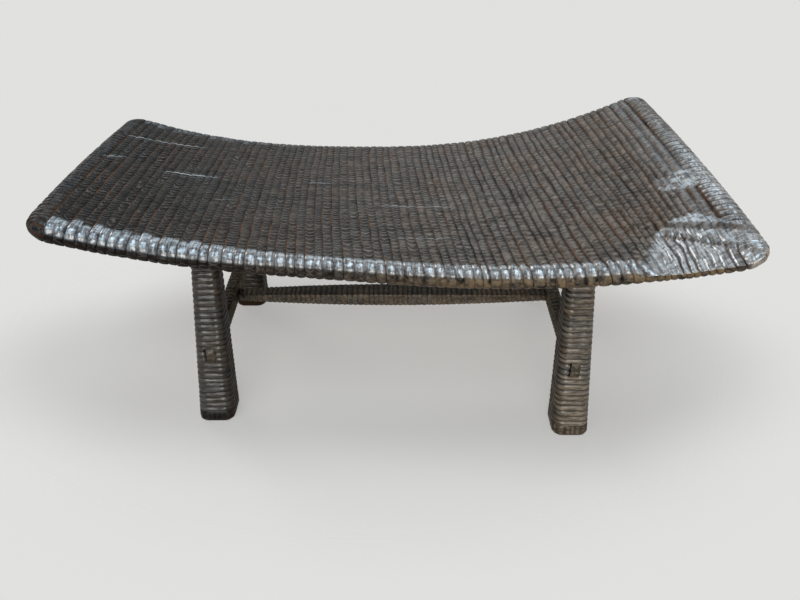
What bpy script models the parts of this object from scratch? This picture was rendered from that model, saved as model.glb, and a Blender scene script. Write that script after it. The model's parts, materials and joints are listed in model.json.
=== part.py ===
# Carved teak bench: a bent slab seat on four splayed posts, tied by an H of three wedged stretchers.
# Metres, +Z up, +X to the right and +Y to the back. The origin is on the floor under the middle of the bench.

import math
import random

import bmesh
import bpy
from mathutils import Matrix, Vector

# Seat slab
SEAT_FRONT_LENGTH = 1.2265
SEAT_BACK_LENGTH = 1.1995
SEAT_END_SWELL = 0.013  # how much longer the bowed ends make it at half its depth
SEAT_FRONT_SHIFT = -0.002  # how far its middle lies to the right, at the front edge and at the back edge
SEAT_BACK_SHIFT = 0.008
SEAT_THICKNESS = 0.046
SEAT_CORNER_RADIUS = 0.042
SEAT_LOW_HEIGHT = 0.420  # top of the seat where it is lowest
SEAT_LOW_X = -0.015
SEAT_LEFT_RISE = 0.089  # how far the left end lies above the low point
SEAT_RIGHT_RISE = 0.138
SEAT_LEFT_POWER = 2.6  # a higher power keeps the middle flatter
SEAT_RIGHT_POWER = 2.3
SEAT_LEFT_DEPTH = 0.536  # from the front edge to the back edge, at the left end, the middle and the right end
SEAT_MIDDLE_DEPTH = 0.554
SEAT_RIGHT_DEPTH = 0.707
SEAT_BACK_LEFT_Y = 0.342  # the bowed back edge at the same three places
SEAT_BACK_MIDDLE_Y = 0.351
SEAT_BACK_RIGHT_Y = 0.343

# Natural hollow in the seat's front right corner
HOLLOW_LENGTH = 0.1205  # from the right end to its left side, at the upper ledge
HOLLOW_LEAN = 0.20  # how far that side runs to the left for each metre towards the front
HOLLOW_FADE = 0.050
UPPER_LEDGE_INSET = 0.172  # from the front edge to the top of each ledge
LOWER_LEDGE_INSET = 0.100
UPPER_LEDGE_DROP = 0.0060
LOWER_LEDGE_DROP = 0.0055
LEDGE_WIDTH = 0.014
HOLLOW_SLOPE = 0.010  # how much lower still the front edge lies than the foot of the lower ledge

# Ribs carved across the seat from front to back
RIB_COUNT = 70
RIB_UNEVEN = 0.16  # by what share a rib may be wider or narrower than the mean
RIB_SEED = 11
RIB_BORDER = 0.036  # from each end of the seat to the first groove
RIB_LEFT_DEPTH = 0.0026  # of a groove between two ribs, on the left half of the top
RIB_RIGHT_DEPTH = 0.0036
RIB_RIM_DEPTH = 0.0042  # of the same groove where it runs round the rounded edge
RIB_UNDER_START = 0.90  # share of the edge's radius from which the grooves run out under the seat
RIB_DEEPENING = 0.350  # from the middle of the seat to where the grooves have their right depth

# Legs
LEG_FOOT_WIDTH = 0.078
LEG_TOP_WIDTH = 0.052
LEG_CORNER_RADIUS = 0.018
LEG_FOOT_ROUND = 0.008
LEFT_FOOT_INSET = 0.2545  # from the seat's end, at half its depth, to the middle of the foot
RIGHT_FOOT_INSET = 0.1975
FRONT_LEFT_SETBACK = 0.0443  # from the seat's long edge to the middle of the foot
FRONT_RIGHT_SETBACK = 0.1169
BACK_LEFT_SETBACK = 0.0609
BACK_RIGHT_SETBACK = 0.0354
LEFT_LEG_LEAN_X = 0.026  # how far a leg's head lies inside its foot
RIGHT_LEG_LEAN_X = 0.028
LEG_LEAN_Y = 0.026
LEG_TENON_WIDTH = 0.030
LEG_TENON_LENGTH = 0.028
LEG_TENON_RADIUS = 0.003

# Stretchers
END_STRETCHER_HEIGHT = 0.172
END_STRETCHER_WIDTH = 0.028
END_STRETCHER_DEPTH = 0.040
END_STRETCHER_RADIUS = 0.007
END_TENON_WIDTH = 0.017
END_TENON_DEPTH = 0.032
LONG_STRETCHER_Y = 0.067
LONG_STRETCHER_DROP = 0.003  # how far its middle lies below the end stretchers' middles
LONG_END_WIDTH = 0.030
LONG_END_DEPTH = 0.016
LONG_MIDDLE_WIDTH = 0.046
LONG_MIDDLE_DEPTH = 0.032
LONG_END_RADIUS = 0.0030
LONG_MIDDLE_RADIUS = 0.0045
LONG_TENON_WIDTH = 0.024
LONG_TENON_DEPTH = 0.011
TENON_PROUD = 0.0008  # how far a through tenon stands out of the face it comes through
TENON_ARRIS = 0.0003  # a stretcher tenon's corners are barely eased

# Wedges
WEDGE_BUTT = 0.0045  # thickness at the driven end
WEDGE_TIP = 0.0015
FOXTAIL_LENGTH = 0.018
LEG_WEDGE_LENGTH = 0.024
LONG_WEDGE_LENGTH = 0.014

# Clearances and mesh steps
FIT_GAP = 0.0003  # on every face where two pieces meet
BED_GAP = 0.0004  # between a leg's shoulder and the bent underside
RIM_STEPS = 3  # facets in a quarter of the seat's rounded edge
CORNER_STEPS = 2  # facets between that edge and the middle in a seat corner
LEDGE_STEPS = 3  # facets down a ledge of the hollow
MIDDLE_ROWS = 2  # rows of points between the hollow and the back of the seat
LEG_CORNER_POINTS = 5
BAR_CORNER_POINTS = 3
LONG_SECTIONS = 14
CUT_REACH = 0.020  # how far a cutter runs past what it cuts
MERGE = 1e-6
SOLVE_ROUNDS = 12

SEAT_LENGTH = (SEAT_FRONT_LENGTH + SEAT_BACK_LENGTH) / 2
SEAT_HALF = SEAT_LENGTH / 2
EDGE_RADIUS = SEAT_THICKNESS / 2
SEAT_FRONT_LEFT_Y = SEAT_BACK_LEFT_Y - SEAT_LEFT_DEPTH
SEAT_FRONT_MIDDLE_Y = SEAT_BACK_MIDDLE_Y - SEAT_MIDDLE_DEPTH
SEAT_FRONT_RIGHT_Y = SEAT_BACK_RIGHT_Y - SEAT_RIGHT_DEPTH
LEFT_FOOT_X = LEFT_FOOT_INSET - SEAT_HALF
RIGHT_FOOT_X = SEAT_HALF - RIGHT_FOOT_INSET
LONG_STRETCHER_HEIGHT = END_STRETCHER_HEIGHT - LONG_STRETCHER_DROP


def clear_scene():
    for obj in list(bpy.data.objects):
        bpy.data.objects.remove(obj, do_unlink=True)


def wood(name, colour, roughness):
    material = bpy.data.materials.new(name)
    material.use_nodes = True
    shader = material.node_tree.nodes["Principled BSDF"]
    shader.inputs["Base Color"].default_value = (*colour, 1.0)
    shader.inputs["Roughness"].default_value = roughness
    shader.inputs["Metallic"].default_value = 0.0
    return material


def add_object(name, bm, material=None):
    bmesh.ops.recalc_face_normals(bm, faces=bm.faces)
    mesh = bpy.data.meshes.new(name)
    bm.to_mesh(mesh)
    bm.free()
    obj = bpy.data.objects.new(name, mesh)
    bpy.context.scene.collection.objects.link(obj)
    if material:
        mesh.materials.append(material)
    return obj


def cut(obj, cutter):
    cutter.hide_render = True
    cutter.display_type = "WIRE"
    modifier = obj.modifiers.new(cutter.name, "BOOLEAN")
    modifier.operation = "DIFFERENCE"
    modifier.solver = "EXACT"
    modifier.object = cutter


def smooth(obj, angle=40.0):
    obj.data.shade_smooth()
    obj.data.set_sharp_from_angle(angle=math.radians(angle))


def ease(value, start, end):
    share = min(max((value - start) / (end - start), 0.0), 1.0)
    return share * share * (3.0 - 2.0 * share)


# Seat curves


def through_three(x, left, middle, right):
    """The parabola through the values at the left end, the middle and the right end of the seat."""
    share = x / SEAT_HALF
    return middle + (right - left) / 2 * share + ((left + right) / 2 - middle) * share * share


def front_edge(x):
    return through_three(x, SEAT_FRONT_LEFT_Y, SEAT_FRONT_MIDDLE_Y, SEAT_FRONT_RIGHT_Y)


def back_edge(x):
    return through_three(x, SEAT_BACK_LEFT_Y, SEAT_BACK_MIDDLE_Y, SEAT_BACK_RIGHT_Y)


def end_shaped(x, share):
    """X moved with the seat's bowed, slanting ends, at a share of the way from front edge to back edge."""
    length = SEAT_FRONT_LENGTH + (SEAT_BACK_LENGTH - SEAT_FRONT_LENGTH) * share
    length += SEAT_END_SWELL * 4.0 * share * (1.0 - share)
    shift = SEAT_FRONT_SHIFT + (SEAT_BACK_SHIFT - SEAT_FRONT_SHIFT) * share
    return shift + x * length / SEAT_LENGTH


def bend(x):
    """Height of the slab's middle layer at x, and its slope there."""
    if x < SEAT_LOW_X:
        rise, power, reach = SEAT_LEFT_RISE, SEAT_LEFT_POWER, -SEAT_HALF - SEAT_LOW_X
    else:
        rise, power, reach = SEAT_RIGHT_RISE, SEAT_RIGHT_POWER, SEAT_HALF - SEAT_LOW_X
    share = (x - SEAT_LOW_X) / reach
    height = SEAT_LOW_HEIGHT - EDGE_RADIUS + rise * share**power
    return height, rise * power * share ** (power - 1) / reach


def bent_point(x, y, out):
    """A point of the slab, out metres above its middle layer and square to it."""
    height, slope = bend(x)
    length = math.hypot(1.0, slope)
    return Vector((x - out * slope / length, y, height + out / length))


def underside(x):
    """Height of the slab's underside straight above the floor point x."""
    along = x
    for _ in range(SOLVE_ROUNDS):
        slope = bend(along)[1]
        along = x - EDGE_RADIUS * slope / math.hypot(1.0, slope)
    return bent_point(along, 0.0, -EDGE_RADIUS).z


def hollow(x, y):
    """How far the natural corner, which steps down over two ledges, lies below the carved top."""
    inward = y - front_edge(x)
    left = SEAT_HALF - HOLLOW_LENGTH - HOLLOW_LEAN * (UPPER_LEDGE_INSET - inward)
    along = ease(x, left - HOLLOW_FADE / 2, left + HOLLOW_FADE / 2)
    upper = UPPER_LEDGE_DROP * (1.0 - ease(inward, UPPER_LEDGE_INSET - LEDGE_WIDTH, UPPER_LEDGE_INSET))
    lower = LOWER_LEDGE_DROP * (1.0 - ease(inward, LOWER_LEDGE_INSET - LEDGE_WIDTH, LOWER_LEDGE_INSET))
    slope = HOLLOW_SLOPE * (1.0 - min(max(inward / LOWER_LEDGE_INSET, 0.0), 1.0))
    return along * (upper + lower + slope)


def groove(x, inside):
    """Depth of a groove between two ribs, at x and a distance inside the seat's outline."""
    top = RIB_LEFT_DEPTH + (RIB_RIGHT_DEPTH - RIB_LEFT_DEPTH) * ease(x, 0.0, RIB_DEEPENING)
    return RIB_RIM_DEPTH + (top - RIB_RIM_DEPTH) * ease(inside, 0.0, EDGE_RADIUS)


# Seat slab


def rim_steps():
    """Distances from the outline over the rounded edge."""
    return [EDGE_RADIUS * (1.0 - math.cos(k * math.pi / 2 / RIM_STEPS)) for k in range(RIM_STEPS + 1)]


def rib_marks():
    """Distance from the left end to each groove, as uneven as a hand sets them out."""
    draw = random.Random(RIB_SEED)
    widths = [1.0 + RIB_UNEVEN * draw.uniform(-1.0, 1.0) for _ in range(RIB_COUNT)]
    mean = (SEAT_LENGTH - 2 * RIB_BORDER) / sum(widths)
    marks = [RIB_BORDER]
    for width in widths:
        marks.append(marks[-1] + width * mean)
    return marks


def seat_columns():
    """Distances from the left end, each with the share of a groove's depth that is cut there."""
    border = rim_steps() + [(EDGE_RADIUS + RIB_BORDER) / 2]
    marks = rib_marks()
    columns = [(step, 0.0) for step in border]
    for near, far in zip(marks, marks[1:]):
        columns += [(near, 1.0), ((near + far) / 2, 0.0)]
    columns.append((marks[-1], 1.0))
    return columns + [(SEAT_LENGTH - step, 0.0) for step in reversed(border)]


def row_at(x, inset):
    """Where on the seat's middle the row of points starts that lies at an inset from the front edge at x."""
    middle = SEAT_MIDDLE_DEPTH - 2 * SEAT_CORNER_RADIUS
    stretch = (back_edge(x) - front_edge(x) - 2 * SEAT_CORNER_RADIUS) / middle
    return SEAT_CORNER_RADIUS + (inset - SEAT_CORNER_RADIUS) / stretch


def seat_rows():
    """Distances from the front edge, close together on the rounded edges and on the ledges."""
    edge = rim_steps()
    rest = SEAT_CORNER_RADIUS - EDGE_RADIUS
    edge += [EDGE_RADIUS + rest * (k + 1) / CORNER_STEPS for k in range(CORNER_STEPS)]
    rows = list(edge)
    hollow_left = SEAT_HALF - HOLLOW_LENGTH - HOLLOW_LEAN * UPPER_LEDGE_INSET
    for inset in (LOWER_LEDGE_INSET, UPPER_LEDGE_INSET):
        near = row_at(SEAT_HALF, inset - LEDGE_WIDTH)
        far = row_at(hollow_left, inset)
        rows += [near + (far - near) * k / LEDGE_STEPS for k in range(LEDGE_STEPS + 1)]
    last = SEAT_MIDDLE_DEPTH - SEAT_CORNER_RADIUS
    middle = (last - rows[-1]) / (MIDDLE_ROWS + 1)
    rows += [last - middle * k for k in range(MIDDLE_ROWS, 0, -1)]
    return rows + [SEAT_MIDDLE_DEPTH - step for step in reversed(edge)]


def under_row(across):
    """The row of points that stands for this one on the plain underside, which has two rows in its middle."""
    if min(across, SEAT_MIDDLE_DEPTH - across) < SEAT_CORNER_RADIUS + MERGE:
        return across
    return SEAT_MIDDLE_DEPTH / 3 if across < SEAT_MIDDLE_DEPTH / 2 else SEAT_MIDDLE_DEPTH * 2 / 3


def round_corner(along, across):
    """Moves a point of the square corner patch onto its quarter disc, in distances from the disc's centre."""
    far, near = max(along, across), min(along, across)
    if far <= 0.0:
        return along, across
    turn = math.pi / 4 * near / far
    if along < across:
        turn = math.pi / 2 - turn
    return far * math.cos(turn), far * math.sin(turn)


def plan_point(end_inset, end_side, edge_inset):
    """X, the inset from the long edge and the distance from the outline, once the corner is rounded."""
    past_end = SEAT_CORNER_RADIUS - end_inset
    past_edge = SEAT_CORNER_RADIUS - edge_inset
    inside = min(end_inset, edge_inset)
    if past_end > 0.0 and past_edge > 0.0:
        inside = SEAT_CORNER_RADIUS - max(past_end, past_edge)
        past_end, past_edge = round_corner(past_end, past_edge)
    x = end_side * (SEAT_HALF - SEAT_CORNER_RADIUS + past_end)
    return x, SEAT_CORNER_RADIUS - past_edge, inside


def seat_point(along, across, grooved, level):
    """A point of the slab's top (level 1) or underside (level -1)."""
    end_side = 1.0 if along > SEAT_HALF else -1.0
    edge_side = 1.0 if across < SEAT_MIDDLE_DEPTH / 2 else -1.0
    edge_inset = min(across, SEAT_MIDDLE_DEPTH - across)
    x, inset, inside = plan_point(min(along, SEAT_LENGTH - along), end_side, edge_inset)
    front, back = front_edge(x), back_edge(x)
    if edge_inset > SEAT_CORNER_RADIUS:
        share = (across - SEAT_CORNER_RADIUS) / (SEAT_MIDDLE_DEPTH - 2 * SEAT_CORNER_RADIUS)
        y = front + SEAT_CORNER_RADIUS + share * (back - front - 2 * SEAT_CORNER_RADIUS)
    elif edge_side > 0:
        y = front + inset
    else:
        y = back - inset
    x = end_shaped(x, (y - front) / (back - front))
    dip = max(EDGE_RADIUS - inside, 0.0)
    half = math.sqrt(max(EDGE_RADIUS**2 - dip**2, 0.0))
    depth = grooved * groove(x, inside)
    if level > 0:
        lost = hollow(x, y) + depth
    else:
        depth *= 1.0 - ease(inside, EDGE_RADIUS * RIB_UNDER_START, SEAT_CORNER_RADIUS)
        lost = depth
    y += edge_side * depth * dip / EDGE_RADIUS
    return bent_point(x, y, level * half * (1.0 - lost / EDGE_RADIUS))


def make_seat(material):
    columns, rows = seat_columns(), seat_rows()
    last_column, last_row = len(columns) - 1, len(rows) - 1
    bm = bmesh.new()
    bmesh.ops.create_grid(bm, x_segments=last_column, y_segments=last_row, size=1.0)
    top = list(bm.verts)
    twin = bmesh.ops.duplicate(bm, geom=list(bm.faces))["vert_map"]
    for vert in top:
        along, grooved = columns[round((vert.co.x + 1.0) / 2 * last_column)]
        across = rows[round((vert.co.y + 1.0) / 2 * last_row)]
        at_end = min(along, SEAT_LENGTH - along) < EDGE_RADIUS + MERGE
        vert.co = seat_point(along, across, grooved, 1)
        twin[vert].co = seat_point(along, across if at_end else under_row(across), grooved, -1)
    bmesh.ops.remove_doubles(bm, verts=bm.verts, dist=MERGE)
    seat = add_object("seat_slab", bm, material)
    smooth(seat)
    return seat


# Rings and lofts


def rounded_ring(width, depth, radius, points):
    """Corner arcs of a rounded rectangle about the origin, counter-clockwise, as (u, v) pairs."""
    ring = []
    for corner in range(4):
        start = corner * math.pi / 2
        side_u = 1.0 if corner in (0, 3) else -1.0
        side_v = 1.0 if corner in (0, 1) else -1.0
        for k in range(points):
            turn = start + math.pi / 2 * k / (points - 1)
            u = side_u * (width / 2 - radius) + radius * math.cos(turn)
            v = side_v * (depth / 2 - radius) + radius * math.sin(turn)
            ring.append((u, v))
    return ring


def loft(rings):
    """A closed solid through rings of as many points each, with flat caps on the first and the last."""
    bm = bmesh.new()
    loops = [[bm.verts.new(point) for point in ring] for ring in rings]
    count = len(rings[0])
    for lower, upper in zip(loops, loops[1:]):
        for k in range(count):
            after = (k + 1) % count
            bm.faces.new((lower[k], lower[after], upper[after], upper[k]))
    bm.faces.new(reversed(loops[0]))
    bm.faces.new(loops[-1])
    return bm


def box(name, centre, size):
    bm = bmesh.new()
    matrix = Matrix.Translation(Vector(centre)) @ Matrix.Diagonal((*size, 1.0))
    bmesh.ops.create_cube(bm, size=1.0, matrix=matrix)
    return add_object(name, bm)


def wedge_shape(butt, tip, length, breadth, grow=0.0, past=0.0):
    """A wedge along +Z with its butt at the origin's height, tapering in X and as broad as breadth in Y.
    grow widens every face for its kerf, and past carries the taper on beyond the butt."""
    taper = (butt - tip) / 2 / length
    profile = []
    for z, side in ((past, 1), (past, -1), (-length - grow, -1), (-length - grow, 1)):
        half = butt / 2 + taper * z + grow
        profile.append((side * half, z))
    half_breadth = breadth / 2 + (CUT_REACH if grow else 0.0)
    return loft([[(x, y, z) for x, z in profile] for y in (half_breadth, -half_breadth)])


def wedge_and_kerf(name, host, place, length, breadth, material):
    """Drives a wedge into the host at a place (butt centre, +Z out of the host) and cuts its kerf."""
    kerf = wedge_shape(WEDGE_BUTT, WEDGE_TIP, length, breadth, FIT_GAP, CUT_REACH)
    kerf.transform(place)
    cut(host, add_object(name + "_kerf", kerf))
    wedge = wedge_shape(WEDGE_BUTT, WEDGE_TIP, length, breadth)
    wedge.transform(place)
    return add_object(name, wedge, material)


# Legs


class Leg:
    """One splayed post: where its axis runs and how wide it is at each height."""

    def __init__(self, end, row, foot_x, foot_y, lean_x, lean_y):
        self.name = f"{row}_{end}"
        self.foot = Vector((foot_x, foot_y))
        self.head = Vector((foot_x + lean_x, foot_y + lean_y))
        self.shoulder = underside(self.head.x) - BED_GAP

    def centre(self, z):
        return self.foot.lerp(self.head, z / self.shoulder)

    def width(self, z):
        return LEG_FOOT_WIDTH + (LEG_TOP_WIDTH - LEG_FOOT_WIDTH) * z / self.shoulder

    def face_y(self, z, side):
        """Y of the leg's front (side -1) or back (side +1) face at a height."""
        return self.centre(z).y + side * self.width(z) / 2

    def ring(self, z, inset=0.0):
        centre, width = self.centre(z), self.width(z) - 2 * inset
        ring = rounded_ring(width, width, LEG_CORNER_RADIUS - inset, LEG_CORNER_POINTS)
        return [Vector((centre.x + u, centre.y + v, z)) for u, v in ring]

    def bedded(self, width, radius):
        """A ring at the head that follows the seat's bent underside."""
        ring = rounded_ring(width, width, radius, LEG_CORNER_POINTS)
        points = [Vector((self.head.x + u, self.head.y + v, 0.0)) for u, v in ring]
        for point in points:
            point.z = underside(point.x) - BED_GAP
        return points

    def tenon_top(self):
        return self.shoulder + LEG_TENON_LENGTH


def make_leg(leg, material):
    rings = []
    for k in range(LEG_CORNER_POINTS):
        turn = math.pi / 2 * k / (LEG_CORNER_POINTS - 1)
        rings.append(leg.ring(LEG_FOOT_ROUND * (1 - math.cos(turn)), LEG_FOOT_ROUND * (1 - math.sin(turn))))
    rings.append(leg.bedded(LEG_TOP_WIDTH, LEG_CORNER_RADIUS))
    neck = leg.bedded(LEG_TENON_WIDTH, LEG_TENON_RADIUS)
    rings.append(neck)
    rings.append([Vector((point.x, point.y, leg.tenon_top())) for point in neck])
    obj = add_object("leg_" + leg.name, loft(rings), material)
    smooth(obj)
    return obj


def seat_mortise(leg):
    side = LEG_TENON_WIDTH + 2 * FIT_GAP
    roof = leg.tenon_top() + FIT_GAP
    floor = leg.shoulder - CUT_REACH
    centre = (leg.head.x, leg.head.y, (roof + floor) / 2)
    return box(f"seat_mortise_{leg.name}", centre, (side, side, roof - floor))


# Stretchers


def end_stretcher_x(front):
    return front.centre(END_STRETCHER_HEIGHT).x


def make_end_stretcher(end, front, back, material):
    x = end_stretcher_x(front)
    tenon = rounded_ring(END_TENON_WIDTH, END_TENON_DEPTH, TENON_ARRIS, BAR_CORNER_POINTS)
    body = rounded_ring(END_STRETCHER_WIDTH, END_STRETCHER_DEPTH, END_STRETCHER_RADIUS, BAR_CORNER_POINTS)

    def section(ring, leg, side, away):
        points = []
        for u, v in ring:
            z = END_STRETCHER_HEIGHT + v
            points.append(Vector((x + u, leg.face_y(z, side) + away, z)))
        return points

    rings = [
        section(tenon, front, -1, -TENON_PROUD),
        section(tenon, front, 1, FIT_GAP),
        section(body, front, 1, FIT_GAP),
        section(body, back, -1, -FIT_GAP),
        section(tenon, back, -1, -FIT_GAP),
        section(tenon, back, 1, TENON_PROUD),
    ]
    obj = add_object("end_stretcher_" + end, loft(rings), material)
    smooth(obj)
    return obj


def leg_mortise(leg, x):
    size = (
        END_TENON_WIDTH + 2 * FIT_GAP,
        LEG_FOOT_WIDTH + 2 * CUT_REACH,
        END_TENON_DEPTH + 2 * FIT_GAP,
    )
    centre = (x, leg.centre(END_STRETCHER_HEIGHT).y, END_STRETCHER_HEIGHT)
    return box(f"stretcher_mortise_{leg.name}", centre, size)


def make_long_stretcher(left_x, right_x, material):
    inner_left = left_x + END_STRETCHER_WIDTH / 2 + FIT_GAP
    inner_right = right_x - END_STRETCHER_WIDTH / 2 - FIT_GAP
    outer_left = left_x - END_STRETCHER_WIDTH / 2 - TENON_PROUD
    outer_right = right_x + END_STRETCHER_WIDTH / 2 + TENON_PROUD

    def section(x, width, depth, radius):
        ring = rounded_ring(width, depth, radius, BAR_CORNER_POINTS)
        return [Vector((x, LONG_STRETCHER_Y + u, LONG_STRETCHER_HEIGHT + v)) for u, v in ring]

    tenon = (LONG_TENON_WIDTH, LONG_TENON_DEPTH, TENON_ARRIS)
    rings = [section(outer_left, *tenon), section(inner_left, *tenon)]
    for k in range(LONG_SECTIONS + 1):
        share = k / LONG_SECTIONS
        swell = math.sin(math.pi * share)
        width = LONG_END_WIDTH + (LONG_MIDDLE_WIDTH - LONG_END_WIDTH) * swell
        depth = LONG_END_DEPTH + (LONG_MIDDLE_DEPTH - LONG_END_DEPTH) * swell
        radius = LONG_END_RADIUS + (LONG_MIDDLE_RADIUS - LONG_END_RADIUS) * swell
        x = inner_left + (inner_right - inner_left) * share
        rings.append(section(x, width, depth, radius))
    rings += [section(inner_right, *tenon), section(outer_right, *tenon)]
    obj = add_object("long_stretcher", loft(rings), material)
    smooth(obj)
    return obj, outer_left, outer_right


def long_mortise(end, x):
    size = (
        END_STRETCHER_WIDTH + 2 * CUT_REACH,
        LONG_TENON_WIDTH + 2 * FIT_GAP,
        LONG_TENON_DEPTH + 2 * FIT_GAP,
    )
    return box(f"long_mortise_{end}", (x, LONG_STRETCHER_Y, LONG_STRETCHER_HEIGHT), size)


# Assembly


def tenon_end_place(leg, side):
    """Butt of the wedge in a through tenon: flush with the leg's sloping outer face, its taper upright."""
    z = END_STRETCHER_HEIGHT
    slope = (leg.face_y(z + END_TENON_DEPTH, side) - leg.face_y(z, side)) / END_TENON_DEPTH
    reach = side * leg.face_y(z, side) + TENON_PROUD - abs(slope) * WEDGE_BUTT
    axes = Matrix(((0, side, 0), (0, 0, side), (1, 0, 0))).to_4x4()
    return Matrix.Translation((leg.centre(z).x, side * reach, z)) @ axes


def main():
    clear_scene()
    seat_wood = wood("seat_charred_teak", (0.058, 0.050, 0.044), 0.42)
    leg_wood = wood("leg_charred_teak", (0.046, 0.042, 0.034), 0.45)
    bar_wood = wood("stretcher_charred_teak", (0.030, 0.025, 0.019), 0.50)
    wedge_wood = wood("wedge_teak", (0.090, 0.058, 0.036), 0.55)

    ends = {
        "left": (LEFT_FOOT_X, LEFT_LEG_LEAN_X, FRONT_LEFT_SETBACK, BACK_LEFT_SETBACK),
        "right": (RIGHT_FOOT_X, -RIGHT_LEG_LEAN_X, FRONT_RIGHT_SETBACK, BACK_RIGHT_SETBACK),
    }
    seat = make_seat(seat_wood)
    bar_x = {}
    bars = {}
    for end, (foot_x, lean_x, front_setback, back_setback) in ends.items():
        front = Leg(end, "front", foot_x, front_edge(foot_x) + front_setback, lean_x, LEG_LEAN_Y)
        back = Leg(end, "back", foot_x, back_edge(foot_x) - back_setback, lean_x, -LEG_LEAN_Y)
        bar_x[end] = end_stretcher_x(front)
        bars[end] = make_end_stretcher(end, front, back, bar_wood)
        for leg, side in ((front, -1), (back, 1)):
            post = make_leg(leg, leg_wood)
            cut(post, leg_mortise(leg, bar_x[end]))
            cut(seat, seat_mortise(leg))
            head = Matrix.Translation((leg.head.x, leg.head.y, leg.tenon_top()))
            name = "foxtail_wedge_" + leg.name
            wedge_and_kerf(name, post, head, FOXTAIL_LENGTH, LEG_TENON_WIDTH, wedge_wood)
            place = tenon_end_place(leg, side)
            name = "tenon_wedge_" + leg.name
            wedge_and_kerf(name, bars[end], place, LEG_WEDGE_LENGTH, END_TENON_WIDTH, wedge_wood)

    long_bar, outer_left, outer_right = make_long_stretcher(bar_x["left"], bar_x["right"], bar_wood)
    for end, x, out in (("left", outer_left, -1), ("right", outer_right, 1)):
        cut(bars[end], long_mortise(end, bar_x[end]))
        axes = Matrix(((0, 0, out), (out, 0, 0), (0, 1, 0))).to_4x4()
        place = Matrix.Translation((x, LONG_STRETCHER_Y, LONG_STRETCHER_HEIGHT)) @ axes
        name = "long_tenon_wedge_" + end
        wedge_and_kerf(name, long_bar, place, LONG_WEDGE_LENGTH, LONG_TENON_DEPTH, wedge_wood)


main()
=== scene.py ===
import json
import math
import random
from bisect import bisect_right

import bmesh
import bpy
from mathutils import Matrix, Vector, noise


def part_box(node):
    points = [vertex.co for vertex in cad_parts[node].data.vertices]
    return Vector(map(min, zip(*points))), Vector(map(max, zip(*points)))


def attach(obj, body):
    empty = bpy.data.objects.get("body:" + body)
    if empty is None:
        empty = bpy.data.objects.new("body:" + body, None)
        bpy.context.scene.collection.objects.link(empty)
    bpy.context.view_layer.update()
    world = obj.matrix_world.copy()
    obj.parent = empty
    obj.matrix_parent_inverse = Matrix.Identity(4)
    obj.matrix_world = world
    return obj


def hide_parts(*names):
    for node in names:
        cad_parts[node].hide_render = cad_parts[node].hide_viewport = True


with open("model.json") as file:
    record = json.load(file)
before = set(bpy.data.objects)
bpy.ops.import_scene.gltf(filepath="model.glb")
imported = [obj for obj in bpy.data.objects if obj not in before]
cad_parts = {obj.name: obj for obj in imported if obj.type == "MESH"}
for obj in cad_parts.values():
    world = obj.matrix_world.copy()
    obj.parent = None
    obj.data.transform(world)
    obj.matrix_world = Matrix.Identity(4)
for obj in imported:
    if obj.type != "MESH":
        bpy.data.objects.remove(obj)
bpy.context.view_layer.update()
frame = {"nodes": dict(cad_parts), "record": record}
print("frame loaded:", len(frame["nodes"]), "nodes")


# small helpers

def clamp(value, low=0.0, high=1.0):
    return min(max(value, low), high)


def ease(value, start, end):
    share = clamp((value - start) / (end - start))
    return share * share * (3 - 2 * share)


def mix(a, b, share):
    return a + (b - a) * share


def grainNoise(x, y, z=0.0):  # about -1 to 1
    return noise.noise(Vector((x, y, z)))


def spread(count, low, high, jitter, seed):  # uneven marks from low to high, as a hand sets them out
    draw = random.Random(seed)
    widths = [1 + jitter * draw.uniform(-1, 1) for k in range(count)]
    marks = [low]
    for width in widths:
        marks.append(marks[-1] + width * (high - low) / sum(widths))
    return marks


def findMark(marks, value):  # which stretch a value lies in, and how far along it
    index = int(clamp(bisect_right(marks, value + 1e-7) - 1, 0, len(marks) - 2))
    return index, clamp((value - marks[index]) / (marks[index + 1] - marks[index]))


def bead(share, power):  # a rounded rib between two sharp grooves: 0 in the groove, 1 on the crest
    return 1 - abs(2 * share - 1) ** power


beadColumns = (0.0, 0.07, 0.23, 0.50, 0.77, 0.93)  # where a rib's profile gets its points
beadRings = (0.0, 0.10, 0.28, 0.50, 0.72, 0.90)


def finishPiece(name, bm, material, nodes):
    bmesh.ops.recalc_face_normals(bm, faces=bm.faces)
    mesh = bpy.data.meshes.new(name)
    bm.to_mesh(mesh)
    bm.free()
    mesh.shade_smooth()
    mesh.materials.append(material)
    piece = bpy.data.objects.new(name, mesh)
    bpy.context.scene.collection.objects.link(piece)
    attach(piece, "root")
    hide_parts(*nodes)
    print(name, "has", sum(len(face.vertices) - 2 for face in mesh.polygons), "triangles")
    return piece


# shader maths

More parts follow.
